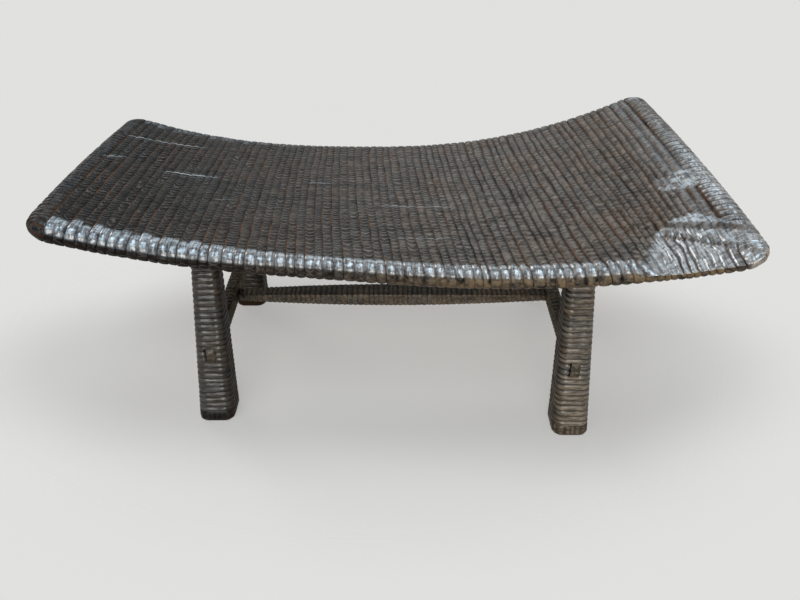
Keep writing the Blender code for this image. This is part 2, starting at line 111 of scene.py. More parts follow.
class Flow:  # a socket that takes part in plain expressions
    def __init__(self, tree, socket=None):
        self.tree = tree
        self.socket = socket

    def make(self, kind, settings=None, inputs=None, output=0):
        node = self.tree.nodes.new(kind)
        for name, value in (settings or {}).items():
            setattr(node, name, value)
        for name, value in (inputs or {}).items():
            if isinstance(value, Flow):
                self.tree.links.new(value.socket, node.inputs[name])
            else:
                node.inputs[name].default_value = value
        return Flow(self.tree, node.outputs[output] if node.outputs else None)

    def sum(self, operation, *values):
        return self.make("ShaderNodeMath", {"operation": operation}, dict(enumerate(values)))

    def __add__(self, other):
        return self.sum("ADD", self, other)

    def __radd__(self, other):
        return self.sum("ADD", other, self)

    def __sub__(self, other):
        return self.sum("SUBTRACT", self, other)

    def __rsub__(self, other):
        return self.sum("SUBTRACT", other, self)

    def __mul__(self, other):
        return self.sum("MULTIPLY", self, other)

    def __rmul__(self, other):
        return self.sum("MULTIPLY", other, self)

    def __truediv__(self, other):
        return self.sum("DIVIDE", self, other)

    def __abs__(self):
        return self.sum("ABSOLUTE", self)

    def most(self, other):
        return self.sum("MAXIMUM", self, other)

    def rise(self, low, high, start=0.0, end=1.0):  # smooth step from start to end
        settings = {"interpolation_type": "SMOOTHSTEP"}
        inputs = {"Value": self, "From Min": low, "From Max": high, "To Min": start, "To Max": end}
        return self.make("ShaderNodeMapRange", settings, inputs)

    def blend(self, first, second):  # this value as the share between two colours
        return self.make("ShaderNodeMix", {"data_type": "RGBA"}, {0: self, 6: first, 7: second}, 2)

    def grain(self, scale, detail=3.0, rough=0.55):  # noise over a vector
        inputs = {"Vector": self, "Scale": scale, "Detail": detail, "Roughness": rough}
        return self.make("ShaderNodeTexNoise", {}, inputs)

    def stretch(self, factors, shift=(0.0, 0.0, 0.0)):
        settings = {"operation": "MULTIPLY_ADD"}
        return self.make("ShaderNodeVectorMath", settings, {0: self, 1: factors, 2: shift})


def newFinish(name):
    material = bpy.data.materials.new(name)
    material.use_nodes = True
    tree = material.node_tree
    tree.nodes.clear()
    start = Flow(tree)
    coords = start.make("ShaderNodeTexCoord", output=3)  # Object
    return material, start, coords


def readMark(start, name):  # a value kept on the mesh
    return start.make("ShaderNodeAttribute", {"attribute_name": name}, output=2)


def endFinish(start, inputs):
    shader = start.make("ShaderNodeBsdfPrincipled", {}, inputs)
    start.make("ShaderNodeOutputMaterial", {}, {"Surface": shader})


# charred teak, worn to brown in the grooves and waxed to a satin on the crests

seatFinish = {
    "name": "seatCharredTeak", "crest": (0.083, 0.068, 0.058, 1), "crestWarm": (0.094, 0.069, 0.054, 1),
    "groove": (0.006, 0.005, 0.004, 1), "grooveWorn": (0.150, 0.064, 0.030, 1), "edge": (0.04, 0.48),
    # the arc and lip colours are painted highlights on the gouge strokes' ridges and along the drying splits; the warm
    # rim colour is a painted warm reflection on the lower rim
    "arc": (0.130, 0.122, 0.118, 1), "bare": (0.40, 0.275, 0.155, 1), "lip": (0.70, 0.69, 0.69, 1),
    # a painted sheen: pale blue-grey colours for the glossy places, the cooler one towards the left, and how much of it
    # shows
    "wax": (0.176, 0.180, 0.190, 1), "waxCool": (0.150, 0.182, 0.222, 1), "waxShare": 0.62,
    "hatch": (70.0, 190.0, 70.0), "grainStretch": (9.0, 70.0, 70.0), "streak": (300.0, 26.0, 90.0),
    # along x: painted light and shade, darker at the left end and lighter at the right; the shade range sets the
    # painted shade on the ribs' right flanks
    "darkEnd": (-0.60, 0.40, 0.30, 1.55), "arcEnd": (-0.60, 0.30, 1.10, 1.35), "shade": (-0.15, 0.35, 0.25, 0.78),
    "sheen": 0.20, "crinkle": 1.0, "roughness": 0.40, "waxed": 0.24, "coat": (0.0, 1.0),
}
legFinish = {
    "name": "legCharredTeak", "crest": (0.053, 0.046, 0.037, 1), "crestWarm": (0.079, 0.059, 0.039, 1),
    "groove": (0.007, 0.006, 0.005, 1), "grooveWorn": (0.050, 0.028, 0.016, 1), "edge": (0.20, 0.95),
    "hatch": (38.0, 38.0, 230.0), "grainStretch": (90.0, 90.0, 150.0), "streak": (60.0, 60.0, 200.0),
    # along x: painted light, the right posts lighter than the left
    "darkEnd": (-0.35, 0.40, 0.65, 2.7),
    "sheen": 0.45, "crinkle": 0.6, "roughness": 0.38, "waxed": 0.28, "coat": (0.0, 0.75),
}
barFinish = {
    "name": "stretcherCharredTeak", "crest": (0.113, 0.093, 0.069, 1), "crestWarm": (0.138, 0.100, 0.062, 1),
    "groove": (0.007, 0.006, 0.005, 1), "grooveWorn": (0.050, 0.030, 0.018, 1), "edge": (0.06, 0.60),
    "hatch": (160.0, 160.0, 160.0), "grainStretch": (12.0, 60.0, 60.0), "streak": (60.0, 60.0, 60.0),
    # along x: painted light, lighter towards the right
    "darkEnd": (-0.4, 0.4, 0.9, 1.2),
    "sheen": 0.5, "crinkle": 0.3, "roughness": 0.50, "waxed": 0.36, "coat": (0.0, 0.5),
}


def charredTeak(look):
    material, start, coords = newFinish(look["name"])
    crest = readMark(start, "crest")
    tone = readMark(start, "tone")
    gloss = readMark(start, "gloss")
    broad = coords.grain(7.0, 2.0)
    patch = coords.grain(26.0, 3.0)
    grain = coords.stretch(look["grainStretch"]).grain(1.0, 4.0, 0.6)
    shift = start.make("ShaderNodeCombineXYZ", {}, {"X": tone * 9.0, "Y": tone * 23.0, "Z": tone * 5.0})
    hatch = coords.stretch(look["hatch"], shift).grain(1.0, 2.0, 0.6)
    streak = coords.stretch(look["streak"]).grain(1.0, 2.0, 0.6)
    along = start.make("ShaderNodeSeparateXYZ", {}, {0: coords})

    warm = (broad * 0.7 + patch * 0.5 + tone * 0.12).rise(0.52, 0.80)
    top = warm.blend(look["crest"], look["crestWarm"])
    # tone noise, times painted light and shade that rises from the left end to the right end
    light = (hatch * 0.75 + grain * 0.45).rise(0.42, 0.78, 0.40, 1.70) * along.rise(*look["darkEnd"])
    height = (hatch * 0.6 + grain * 0.25) * gloss.rise(0.0, 1.0, 1.0, look["crinkle"])
    sheen = (streak * 0.6 + hatch * 0.4).rise(0.40, 0.58, look["sheen"], 1.0)
    worn = (patch * 0.9 + broad * 0.4 + gloss * 0.15).rise(0.50, 0.80)
    deep = worn.blend(look["groove"], look["grooveWorn"])
    chiselled = "arc" in look
    if chiselled:  # gouge strokes with painted light on their ridges and painted shade in their scoops, painted shade on the right flanks, a painted sheen on the glossy places and a painted warm reflection along the lower rim
        force = readMark(start, "force")
        strokes = abs(start.sum("SINE", readMark(start, "phase") * math.pi))
        light = light * (1.0 - readMark(start, "flank").rise(0.45, 0.88) * along.rise(*look["shade"]))
        # painted light on the strokes' ridges, painted shade in their scoops
        light = light * (1.0 + force * strokes.rise(0.05, 0.75, 0.8, -0.5))
        height = height - strokes * force * 0.45
        sheen = sheen * (1.0 - force * strokes.rise(0.0, 0.6, 0.5, 0.0))
    top = start.make("ShaderNodeVectorMath", {"operation": "SCALE"}, {0: top, "Scale": light})
    if chiselled:
        # painted highlights: pale arcs along the gouge strokes' ridges, stronger towards the right
        paintedArcGlints = force * strokes.rise(0.05, 0.50, 0.9, 0.0) * patch.rise(0.34, 0.58) * along.rise(*look["arcEnd"])
        top = paintedArcGlints.blend(top, look["arc"])
        # painted sheen: a pale blue-grey colour over the glossy places, cooler towards the left end
        wax = gloss.rise(0.05, 0.8) * (streak * 0.5 + hatch * 0.5).rise(0.38, 0.60, 0.3, 1.0) * look["waxShare"]
        top = wax.blend(top, along.rise(-0.55, -0.10).blend(look["waxCool"], look["wax"]))
        # painted warm reflection along the lower rim, in patches
        bare = readMark(start, "bare") * (patch * 0.5 + hatch * 0.5).rise(0.40, 0.60)
        top = bare.blend(top, look["bare"])
    colour = crest.rise(*look["edge"]).blend(deep, top)
    if chiselled:
        # painted highlight: the pale lip colour along the drying splits
        paintedSplitGlint = readMark(start, "split") * abs(readMark(start, "offset")).rise(0.3, 1.5, 1.0, 0.0)
        colour = paintedSplitGlint.blend(colour, look["lip"])

    roughness = (hatch - 0.5) * 0.22 + (grain - 0.5) * 0.10 + gloss.rise(0.0, 1.0, look["roughness"], look["waxed"])
    normal = start.make("ShaderNodeBump", {}, {"Strength": 0.8, "Distance": 0.0022, "Height": height})
    endFinish(start, {
        "Base Color": colour, "Roughness": roughness, "Normal": normal, "Specular IOR Level": 0.03,
        "Coat Weight": gloss.rise(0.0, 1.0, *look["coat"]) * sheen, "Coat Roughness": 0.22, "Coat IOR": 2.6,
    })
    return material


seatTeak = charredTeak(seatFinish)
legTeak = charredTeak(legFinish)
barTeak = charredTeak(barFinish)
print("wood finishes made")


# seat slab: sizes as in the frame, carved over with ribs

seat = {
    "frontLength": 1.2265, "backLength": 1.1995, "endSwell": 0.013, "shifts": (-0.002, 0.008),
    "thickness": 0.046, "corner": 0.042,
    "lowHeight": 0.420, "lowX": -0.015, "rises": (0.089, 0.138), "powers": (2.6, 2.3),
    "depths": (0.536, 0.554, 0.707), "backEdge": (0.342, 0.351, 0.343),  # left end, middle, right end
    "ribLean": 0.060, "leanPower": 1.4, "leanFrom": (-0.45, 0.0), "leanTo": (0.37, 0.575),
    "ribs": 70, "ribJitter": 0.16, "beadPower": 2.5, "rimPower": 9.0, "lowPower": 3.2, "gather": 0.60,
    "topCut": 0.0027, "rightCut": 0.0054, "rimCut": 0.0036, "hollowCut": 0.0040,
    "wander": 0.0026, "rimRows": 9, "fieldRows": 146, "underRows": 13, "fineRows": 2,
    "bandWidth": 0.036, "bandRows": (6, 8), "bandCut": 0.0048, "bandPower": 2.6,
    "stroke": 0.0009, "strokePitch": 0.0112, "strokeBow": 0.0080, "lump": 0.0008,
    "splits": (  # from x and y, to x and y, strength
        (-0.572, 0.224, -0.392, 0.259, 0.9), (-0.464, 0.106, -0.338, 0.122, 1.0),
        (-0.582, 0.106, -0.530, 0.130, 0.7), (-0.163, 0.133, -0.090, 0.132, 0.5),
        (-0.002, 0.031, 0.169, 0.011, 0.45), (0.032, -0.100, 0.160, -0.112, 0.4),
        (-0.338, 0.023, -0.282, 0.036, 0.4),
    ),
}
seatLength = (seat["frontLength"] + seat["backLength"]) / 2
halfLength = seatLength / 2
middleDepth = seat["depths"][1]
edgeRadius = seat["thickness"] / 2
rimArc = edgeRadius * math.pi / 2
frontEdge = [back - depth for back, depth in zip(seat["backEdge"], seat["depths"])]

hollow = {  # the natural low corner at the front right
    "left": 0.486, "lean": 0.20, "fade": 0.050, "slope": 0.008, "waxedFrom": 0.034, "waxedLean": 0.20,
    "ledgeX": 0.53, "ledgeSpan": (0.50, 0.61),  # where the ledges are measured, and the stretch they slant over
    "ledges": ((0.116, 0.48, 0.0070, 0.007), (0.082, 0.80, 0.0034, 0.006)),  # from the front edge, slant, drop, width
    "lip": (0.548, 0.148, 0.52, 1.13),  # x and place of the highest point above the ledge, fall to each side
    "roll": 0.0040, "wander": 2.6, "swing": 0.0024, "wornRibs": 0.42, "chip": (0.566, -0.086, 0.040, 0.036),
}


def throughThree(x, values):
    left, middle, right = values
    share = x / halfLength
    return middle + (right - left) / 2 * share + ((left + right) / 2 - middle) * share * share


def seatBend(x):  # height and slope of the slab's middle layer
    side = 0 if x < seat["lowX"] else 1
    rise, power = seat["rises"][side], seat["powers"][side]
    reach = (halfLength if side else -halfLength) - seat["lowX"]
    share = (x - seat["lowX"]) / reach
    height = seat["lowHeight"] - edgeRadius + rise * share ** power
    return height, rise * power * share ** (power - 1) / reach


def slabPoint(x, y, out):
    height, slope = seatBend(x)
    length = math.hypot(1, slope)
    return Vector((x - out * slope / length, y, height + out / length))


def arcSpan(span):  # length over the slab from the outline on one side to the other
    return span - 2 * edgeRadius + 2 * rimArc


def insetAt(arc, span):  # inset in plan for a place on that length
    near = min(arc, arcSpan(span) - arc)
    if near < rimArc:
        return edgeRadius * (1 - math.cos(near / edgeRadius))
    return near - rimArc + edgeRadius


def roundCorner(along, across):
    far, near = max(along, across), min(along, across)
    if far <= 0:
        return along, across
    turn = math.pi / 4 * near / far
    if along < across:
        turn = math.pi / 2 - turn
    return far * math.cos(turn), far * math.sin(turn)


def ribLean(x, share):  # the ribs reach further right at the front edge (share 0) than at the back
    reach = ease(x, *seat["leanFrom"]) * (1 - ease(x, *seat["leanTo"]))
    return seat["ribLean"] * reach * (1 - share) ** seat["leanPower"]


def planAt(alongArc, acrossArc):  # x, y and the distance inside the outline
    corner = seat["corner"]
    endSide = 1 if alongArc > arcSpan(seatLength) / 2 else -1
    backSide = acrossArc > arcSpan(middleDepth) / 2
    endInset, edgeInset = insetAt(alongArc, seatLength), insetAt(acrossArc, middleDepth)
    pastEnd, pastEdge = corner - endInset, corner - edgeInset
    inside = min(endInset, edgeInset)
    if pastEnd > 0 and pastEdge > 0:
        inside = corner - max(pastEnd, pastEdge)
        pastEnd, pastEdge = roundCorner(pastEnd, pastEdge)
    x = endSide * (halfLength - corner + pastEnd)
    fromFront = edgeInset / middleDepth
    x += ribLean(x, 1 - fromFront if backSide else fromFront)
    front, back = throughThree(x, frontEdge), throughThree(x, seat["backEdge"])
    if edgeInset > corner:
        share = (edgeInset - corner) / (middleDepth - 2 * corner)
        share = 1 - share if backSide else share
        y = front + corner + share * (back - front - 2 * corner)
    elif backSide:
        y = back - corner + pastEdge
    else:
        y = front + corner - pastEdge
    share = (y - front) / (back - front)
    length = mix(seat["frontLength"], seat["backLength"], share) + seat["endSwell"] * 4 * share * (1 - share)
    return mix(*seat["shifts"], share) + x * length / seatLength, y, inside


def alongSteps():  # a column at every point of every rib's profile
    total = arcSpan(seatLength)
    bandArc = rimArc + seat["bandWidth"] - edgeRadius
    rim = [rimArc * k / seat["rimRows"] for k in range(seat["rimRows"] + 1)]
    rim += [mix(rimArc, bandArc, k / 3) for k in (1, 2)]
    marks = spread(seat["ribs"], bandArc, total - bandArc, seat["ribJitter"], 11)
    columns = [mix(marks[k], marks[k + 1], share) for k in range(seat["ribs"]) for share in beadColumns]
    return rim + columns + [marks[-1]] + [total - step for step in reversed(rim)], marks, bandArc


def acrossSteps(fieldRows):
    total = arcSpan(middleDepth)
    rim = [rimArc * k / seat["rimRows"] for k in range(seat["rimRows"])]
    field = [mix(rimArc, total - rimArc, k / fieldRows) for k in range(fieldRows + 1)]
    return rim + field + [total - step for step in reversed(rim)]


def fineRow(acrossArc):  # place counted in the fine rows of the end bands
    total, rows, fine = arcSpan(middleDepth), seat["rimRows"], seat["fineRows"]
    if acrossArc < rimArc:
        return acrossArc / rimArc * rows * fine
    if acrossArc > total - rimArc:
        return (rows + seat["fieldRows"] + (acrossArc - total + rimArc) / rimArc * rows) * fine
    return (rows + (acrossArc - rimArc) / (total - 2 * rimArc) * seat["fieldRows"]) * fine


def gatherColumns(u, v, marks):  # the nose has flat ribs, with its points near the grooves
    if not marks[0] < u < marks[-1]:
        return u
    near = min(v, arcSpan(middleDepth) - v)
    rim = 1 - ease(near, rimArc * 0.7, rimArc * 1.3)
    index, share = findMark(marks, u)
    side = 2 * share - 1
    moved = math.copysign(abs(side) ** mix(1, seat["gather"], rim), side)
    return mix(marks[index], marks[index + 1], (moved + 1) / 2)


def bandMarks(seed):  # the short end ribs take six to eight fine rows each
    draw = random.Random(seed)
    marks = [0]
    last = (2 * seat["rimRows"] + seat["fieldRows"]) * seat["fineRows"]
    while marks[-1] < last:
        marks.append(marks[-1] + draw.randint(*seat["bandRows"]))
    return marks


def ledgeAt(x, row):
    place, slant = hollow["ledges"][row][:2]
    return place - slant * (clamp(x, *hollow["ledgeSpan"]) - hollow["ledgeX"])


def hollowAt(x, y):  # depth of the natural corner, its waxed share, the way in from the front edge, the upper ledge's face
    inward = y - throughThree(x, frontEdge)
    left = hollow["left"] - hollow["lean"] * (0.18 - inward)
    left += 0.008 * grainNoise(y * 30, 4.2)
    along = ease(x, left - hollow["fade"] / 2, left + hollow["fade"] / 2)
    upper, lower = ledgeAt(x, 0) - hollow["ledges"][0][3], ledgeAt(x, 1)
    depth = hollow["slope"] * (1 - clamp(inward / lower))
    depth += hollow["roll"] * clamp((upper - inward) / (upper - lower)) ** 2
    face = 0
    for row, (place, slant, drop, width) in enumerate(hollow["ledges"]):
        edge = ledgeAt(x, row) + 0.005 * grainNoise(x * 26, row * 5.1) + 0.004 * grainNoise(x * 90, row * 3.7 + 9)
        depth += drop * (1 - ease(inward, edge - width, edge))
        if row == 0:
            face = ease(inward, edge - width - 0.006, edge - width) * (1 - ease(inward, edge - 0.002, edge + 0.002))
    left += hollow["waxedFrom"] - hollow["waxedLean"] * (0.18 - inward)
    peakX, peak, fallLeft, fallRight = hollow["lip"]
    top = peak - fallLeft * max(peakX - x, 0) - fallRight * max(x - peakX, 0) + 0.005 * grainNoise(x * 70, 7.7)
    waxed = ease(x, left - 0.018, left + 0.012) * (1 - ease(inward, top - 0.008, top))
    return depth * along, waxed, inward, face * along


def chipAt(x, y):  # the chipped patch beside the right end band
    cx, cy, wide, deep = hollow["chip"]
    away = math.hypot((x - cx) / wide, (y - cy) / deep) + 0.7 * grainNoise(x * 70, y * 50, 3.0)
    return 1 - ease(away, 0.6, 1.1)


def makeSeat():
    columns, marks, bandArc = alongSteps()
    total = arcSpan(seatLength)
    sheets = ((1, acrossSteps(seat["fieldRows"])), (-1, acrossSteps(seat["underRows"])))
    bands = {-1: bandMarks(5), 1: bandMarks(6)}
    bm = bmesh.new()
    names = ("crest", "tone", "gloss", "phase", "flank", "force", "split", "offset", "bare")
    layers = {mark: bm.verts.layers.float.new(mark) for mark in names}
    for level, rows in sheets:
        across, down = len(columns) - 1, len(rows) - 1
        grid = bmesh.ops.create_grid(bm, x_segments=across, y_segments=down, size=1.0)
        for vert in grid["verts"]:
            u = columns[round((vert.co.x + 1) / 2 * across)]
            v = rows[round((vert.co.y + 1) / 2 * down)]
            vert.co = (u, v, level)

    # the end bands need closer rows for their short ribs
    cuts = {}
    for edge in bm.edges:
        a, b = edge.verts
        if abs(a.co.x - b.co.x) < 1e-6 and min(a.co.x, total - a.co.x) < bandArc + 1e-6:
            count = round(abs(fineRow(a.co.y) - fineRow(b.co.y)))
            cuts.setdefault(count, []).append(edge)
    for count, edges in sorted(cuts.items()):
        bmesh.ops.subdivide_edges(bm, edges=edges, cuts=count - 1, use_grid_fill=True, use_single_edge=True)

    flat = {}
    for vert in bm.verts:
        u, v, level = vert.co
        u = gatherColumns(u, v, marks)
        x, y, inside = planAt(u, v)
        fade = ease(min(u, total - u), bandArc, bandArc + 0.06)
        loose = mix(1.0, hollow["wander"], hollowAt(x, y)[1]) if level > 0 else 1.0
        sway = grainNoise(x * 22, y * 11, 1.7) + 0.5 * grainNoise(x * 60, y * 30, 7.9)
        x += fade * (loose * seat["wander"] * sway + (loose - 1) * hollow["swing"] * grainNoise(x * 16, y * 38, 3.1))
        half = math.sqrt(max(edgeRadius ** 2 - max(edgeRadius - inside, 0) ** 2, 0))
        flat[vert] = (u, v, level, x, y, inside)
        drop = hollowAt(x, y)[0] if level > 0 else 0
        vert.co = slabPoint(x, y, (half - drop * half / edgeRadius) * level)
    bmesh.ops.remove_doubles(bm, verts=bm.verts, dist=1e-6)
    bmesh.ops.recalc_face_normals(bm, faces=bm.faces)
    bm.normal_update()
    outward = {vert: vert.normal.copy() for vert in bm.verts}
    for vert in bm.verts:
        depth, kept = carveSeat(flat[vert], marks, bands, bandArc, total)
        vert.co -= outward[vert] * depth
        for mark, value in kept.items():
            vert[layers[mark]] = value
    return finishPiece("seatSlab", bm, seatTeak, ["seat_slab"])


def splitAt(x, y):  # strength of the nearest drying split along the grain, and the way to it in millimetres
    most, offset = 0, 9
    for startX, startY, endX, endY, strength in seat["splits"]:
        middle = mix(startY, endY, clamp((x - startX) / (endX - startX))) + 0.003 * grainNoise(x * 40, startY * 70)
        reach = ease(x, startX, startX + 0.02) * (1 - ease(x, endX - 0.03, endX))
        broken = clamp(0.8 + 1.1 * grainNoise(x * 75, startY * 90))
        if abs(y - middle) * 1000 < abs(offset):
            most, offset = strength * broken * reach, (y - middle) * 1000
    return most, offset


def carveSeat(place, marks, bands, bandArc, total):
    u, v, level, x, y, inside = place
    endSide = 1 if u > total / 2 else -1
    fromEnd = min(u, total - u)
    rim = 1 - ease(inside, 0.0, edgeRadius * 1.1)
    under = ease(inside, edgeRadius * 0.9, edgeRadius + 0.040) if level < 0 else 0
    waxed, inward, face = hollowAt(x, y)[1:] if level > 0 else (0, 1, 0)
    phase, flank, force = 0.5, 0.3, 0
    if fromEnd < bandArc - 1e-6:
        index, share = findMark(bands[endSide], fineRow(v))
        border = ease(bandArc - fromEnd, 0.0, 0.012)
        crest = bead(share, seat["bandPower"]) * mix(1, border, 0.25)
        crest = mix(crest, 1, 0.55 * waxed)
        depth = seat["bandCut"] * (1 - crest) * (1 if endSide > 0 else 0.6)
        tone = math.sin(index * 12.9898 + endSide) * 0.5 + 0.5
        gloss = mix(0.4, 1, border) * mix(0.7, 1, tone) * mix(1, 0.45, ease(y, -0.02, 0.12))
        gloss = (gloss if endSide > 0 else 0.20) * ease(crest, 0.20, 0.80)
    else:
        index, share = findMark(marks, u)
        # the share across the rib also places the painted shade on its right flank
        flank = share
        power = mix(seat["beadPower"], seat["rimPower"], rim)
        if level < 0:  # rounder again below the nose
            power = mix(power, seat["lowPower"], ease(inside, 0.0, edgeRadius * 0.25))
        crest = bead(share, power)
        crest = mix(crest, 1.0, waxed * ease(inward, ledgeAt(x, 0) - 0.015, ledgeAt(x, 0) - 0.007))
        nearest = index if share < 0.5 else index + 1
        cut = clamp(0.85 + 0.6 * grainNoise(nearest * 7.31, y * 9.0), 0.45, 1.0)
        cut = mix(cut, max(cut, 0.8), rim)
        if waxed:  # worn ribs, with a crack down every third groove or so
            cracked = ease(ledgeAt(x, 1) - inward, -0.006, 0.016) if math.sin(nearest * 5.3 + 1.4) > 0.3 else 0
            cut = mix(cut, mix(hollow["wornRibs"], 1, cracked), waxed)
        depth = mix(mix(seat["topCut"], seat["rightCut"], ease(x, 0.0, 0.35)), seat["rimCut"], rim)
        depth = mix(depth, seat["hollowCut"], waxed)
        tone = math.sin(index * 78.233) * 0.5 + 0.5
        bow = seat["strokeBow"] * (2 * share - 1) ** 2
        pitch = seat["strokePitch"] * mix(0.8, 1.2, tone)
        leftEnd = 1 - ease(x, -0.40, -0.10)
        phase = (v - bow) / pitch + tone * 7 + 0.8 * grainNoise(index * 3.3, v * 25)
        phase += mix(0.2, 0.7, leftEnd) * grainNoise(x * 150, y * 120, 5.5)
        force = clamp(0.7 + 0.9 * grainNoise(index * 1.7, v * 12, 4.0), 0.15, 1.2) * mix(0.85, 0.4, ease(x, 0.05, 0.35))
        scoop = seat["stroke"] * force * (1 - rim) * (1 - waxed) * min(crest * 1.6, 1)
        depth = depth * cut * (1 - crest) + scoop * abs(math.sin(math.pi * phase))
        depth += 0.0010 * clamp(grainNoise(index * 5.7, y * 6.0, 2.0)) * crest
        crest = 1 - cut * (1 - crest)
        gloss = 0
        if level > 0:
            edgeInset = insetAt(v, middleDepth)
            fadeIn = mix(0.75, 1.25, leftEnd) + 0.25 * math.sin(index * 3.7) * leftEnd
            gloss = ease(edgeInset, edgeRadius * mix(0.03, 0.0, leftEnd), edgeRadius * mix(0.16, 0.05, leftEnd))
            gloss *= 1 - ease(edgeInset, edgeRadius * fadeIn, edgeRadius * (fadeIn + 0.6))
            gloss *= mix(1, clamp(1.0 + 0.9 * grainNoise(x * 170, v * 110, 6.6)), leftEnd)
        gloss *= 1 if y < 0 else 0.35
        gloss = max(gloss, 0.30 * ease(x, 0.50, 0.56) * max(level, 0))
    split, offset = 0, 9
    lump = seat["lump"] * mix(1, 2.3, 1 - ease(x, -0.40, -0.10))
    depth += lump * rim * (grainNoise(x * 90, v * 75, 2.6) + 0.6 * grainNoise(x * 160, v * 120, 4.4))
    if level > 0:
        chip = chipAt(x, y)
        rough = grainNoise(x * 85, y * 30, 5.0) + 0.6 * grainNoise(x * 38, y * 48, 8.0)
        smooth = ease(inward, ledgeAt(x, 0) - 0.007, ledgeAt(x, 0))
        broken = grainNoise(x * 120, y * 85, 1.0) + 0.8 * grainNoise(x * 60, y * 130, 6.0)
        crackAway = abs(inward - ledgeAt(x, 1) + 0.004 - 0.005 * grainNoise(x * 50, 3.3))
        crack = waxed * (1 - ease(crackAway, 0.0012, 0.0040)) * (1 - ease(x, 0.560, 0.585))
        depth = depth * (1 - 0.6 * chip) + 0.0022 * chip * (broken + 0.3)
        depth += 0.0022 * waxed * rough * (1 - 0.8 * smooth) * (1 - rim) + 0.0026 * crack
        crest = mix(crest, 0.9, 0.6 * chip) * (1 - 0.75 * crack)
        waxed *= mix(1, 0.75, ease(x, 0.545, 0.595))
        gloss = max(gloss, waxed, chip * ease(broken, -0.5, 0.1)) * (1 - 0.65 * face) * (1 - 0.6 * crack)
        split, offset = splitAt(x, y)
        depth -= 0.0008 * split * (1 - ease(abs(offset), 0.8, 3.4))
    depth *= (1 - under) * (1 if level > 0 else 0.9)
    crest = mix(crest, 0.75, under)
    if under:
        depth += 0.0020 * under * (0.5 + 0.5 * grainNoise(x * 16, y * 22, 6.0))
    gloss *= ease(crest, 0.0, 0.5)
    # painted warm reflection: the lower rim, stronger to the right and at the front
    low = (1 - ease(inside, 0.0, edgeRadius * 0.12)) if level > 0 else 1 - ease(inside, edgeRadius * 0.15, edgeRadius * 0.6)
    bare = low * ease(x, -0.20, 0.40) * (1 if y < 0 else 0.3)
    return max(depth, 0), {
        "crest": crest, "tone": tone, "gloss": gloss, "phase": phase, "flank": flank, "force": force,
        "split": split, "offset": offset, "bare": bare,
    }


makeSeat()


# posts and bars are a grid wrapped round, with a ring at every point of every rib's profile

def roundedSection(share, halfU, halfV, radius):  # a point of a rounded rectangle and the way out from it
    side = int(share * 4) % 4
    local = share * 4 - int(share * 4)
    acrossHalf, outHalf = (halfV, halfU) if side % 2 == 0 else (halfU, halfV)
    straight = 0.62
    if local < straight:
        along = mix(-(acrossHalf - radius), acrossHalf - radius, local / straight)
        point, out = Vector((outHalf, along)), Vector((1, 0))
    else:
        turn = math.pi / 2 * (local - straight) / (1 - straight)
        out = Vector((math.cos(turn), math.sin(turn)))
        point = Vector((outHalf - radius, acrossHalf - radius)) + out * radius
    for k in range(side):
        point, out = Vector((-point.y, point.x)), Vector((-out.y, out.x))
    return point, out


def wrapGrid(around, rings, place, marks):  # place(share round, ring) gives a point, and the marks to keep on it
    bm = bmesh.new()
    layers = [bm.verts.layers.float.new(mark) for mark in marks]
    bmesh.ops.create_grid(bm, x_segments=around, y_segments=len(rings) - 1, size=1.0)
    for vert in bm.verts:
        column = round((vert.co.x + 1) / 2 * around) % around
        ring = rings[round((vert.co.y + 1) / 2 * (len(rings) - 1))]
        vert.co, kept = place(column / around, ring)
        for layer, value in zip(layers, kept):
            vert[layer] = value
    bmesh.ops.remove_doubles(bm, verts=bm.verts, dist=1e-6)
    rim = [edge for edge in bm.edges if edge.is_boundary]
    bmesh.ops.holes_fill(bm, edges=rim, sides=0)
    return bm


marksKept = ("crest", "tone", "gloss")

leg = {
    "footWidth": 0.078, "topWidth": 0.052, "corner": 0.54, "footRound": 0.008,  # corner as a share of the half width
    "around": 72, "footBand": 0.026, "pitch": 0.0128, "jitter": 0.14, "cut": 0.0038, "beadPower": 2.3,
    "wander": 0.0022, "intoSeat": 0.014, "toolCut": 0.0012, "toolCuts": 22,
    "mouth": (0.0098, 0.0162, -0.0022), "mouthCut": 0.0034,  # half width, half height and shift of the mortise mouth
}
feet = {mount["name"].replace("foot_", ""): Vector(mount["pos_m"]) for mount in frame["record"]["mounts"]}


def headOf(node):  # the middle of a leg's top, from the frame
    points = [vert.co for vert in frame["nodes"][node].data.vertices]
    top = max(point.z for point in points)
    rim = [point for point in points if point.z > top - 1e-4]
    return sum(rim, Vector()) / len(rim)


